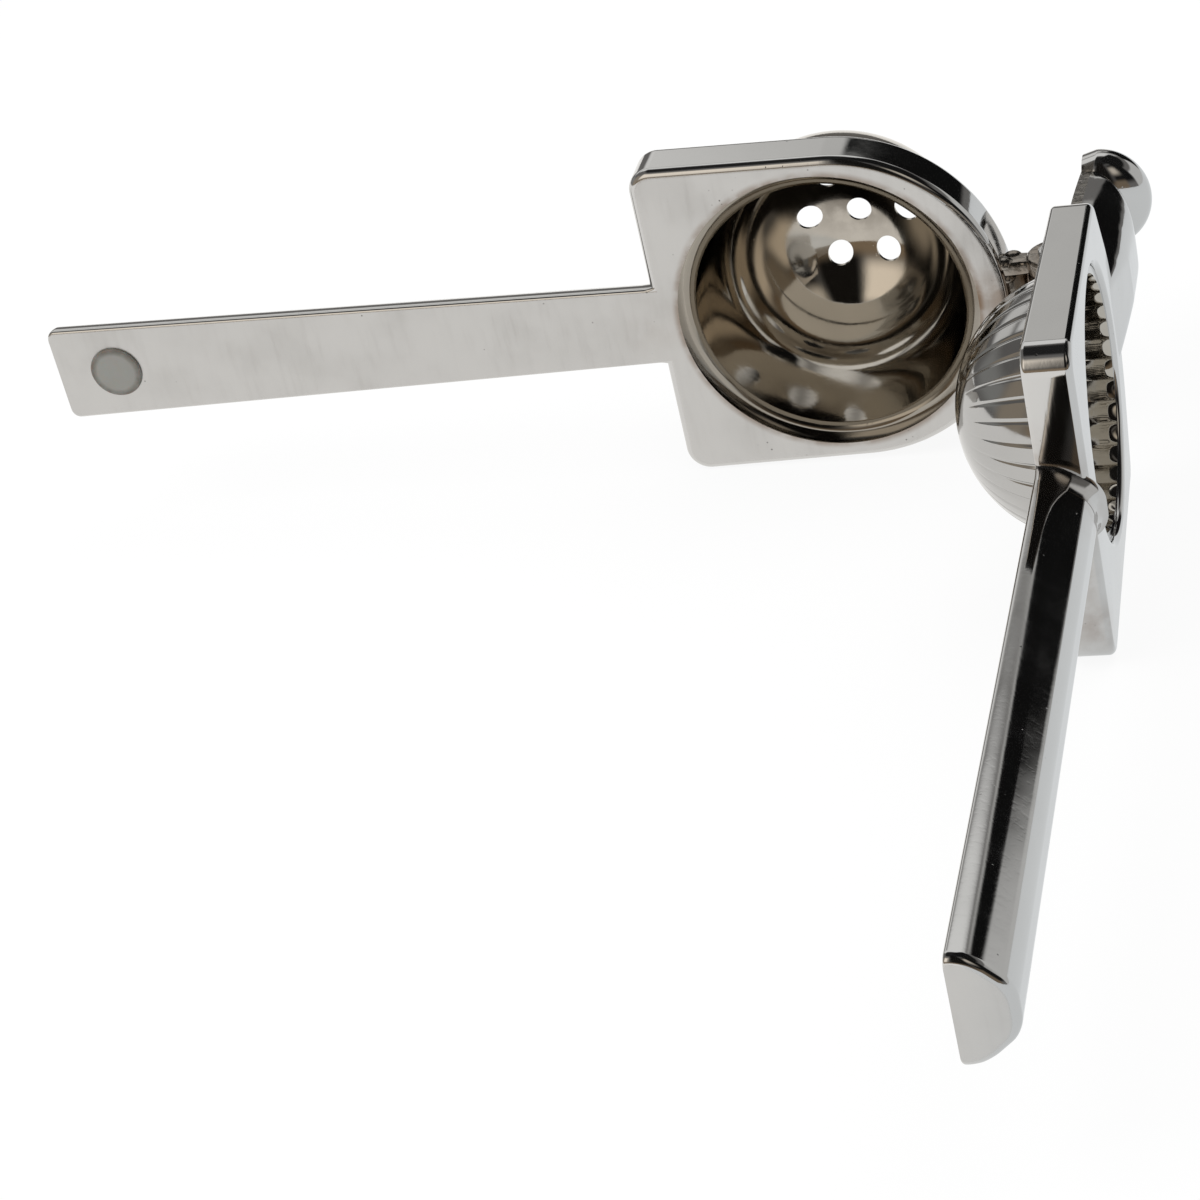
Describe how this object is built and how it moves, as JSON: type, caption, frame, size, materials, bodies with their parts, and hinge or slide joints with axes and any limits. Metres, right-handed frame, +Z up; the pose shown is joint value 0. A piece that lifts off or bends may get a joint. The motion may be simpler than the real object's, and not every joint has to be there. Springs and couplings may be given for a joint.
{
  "type": "lime squeezer",
  "caption": "Two-armed polished steel lever press: a holed cup and a grooved dome close on a hinge pin, with half-round handles and a hooked tail.",
  "frame": {"origin": "middle of the bounding box on the surface that the open squeezer lies on", "axes": "+Z up along the hinge pin, the cup arm runs to -X, the plunger arm to -Y, the tail to +Y"},
  "size_m": [0.2362, 0.2639, 0.0714],
  "materials": {
    "steel_polished": "mirror polished stainless steel",
    "steel_satin": "satin ground flat faces with polished edges",
    "silicone": "translucent grey silicone"
  },
  "bodies": {
    "cup_arm": {"cup_frame": "steel_satin", "cup_bowl": "steel_polished", "cup_handle": "steel_satin", "handle_bumper": "silicone", "hinge_ear_upper": "steel_polished", "hinge_ear_lower": "steel_polished", "hinge_pin": "steel_polished"},
    "plunger_arm": {"plunger_frame": "steel_polished", "plunger_dome": "steel_polished", "plunger_handle": "steel_polished", "hinge_tongue": "steel_polished", "tail_hook": "steel_polished"}
  },
  "joints": [
    {"name": "squeeze_hinge", "type": "hinge", "parent": "cup_arm", "child": "plunger_arm", "pos_m": [0.1023, 0.0885, 0.0357], "axis": [0, 0, 1], "range_deg": [-90, 35]}
  ]
}
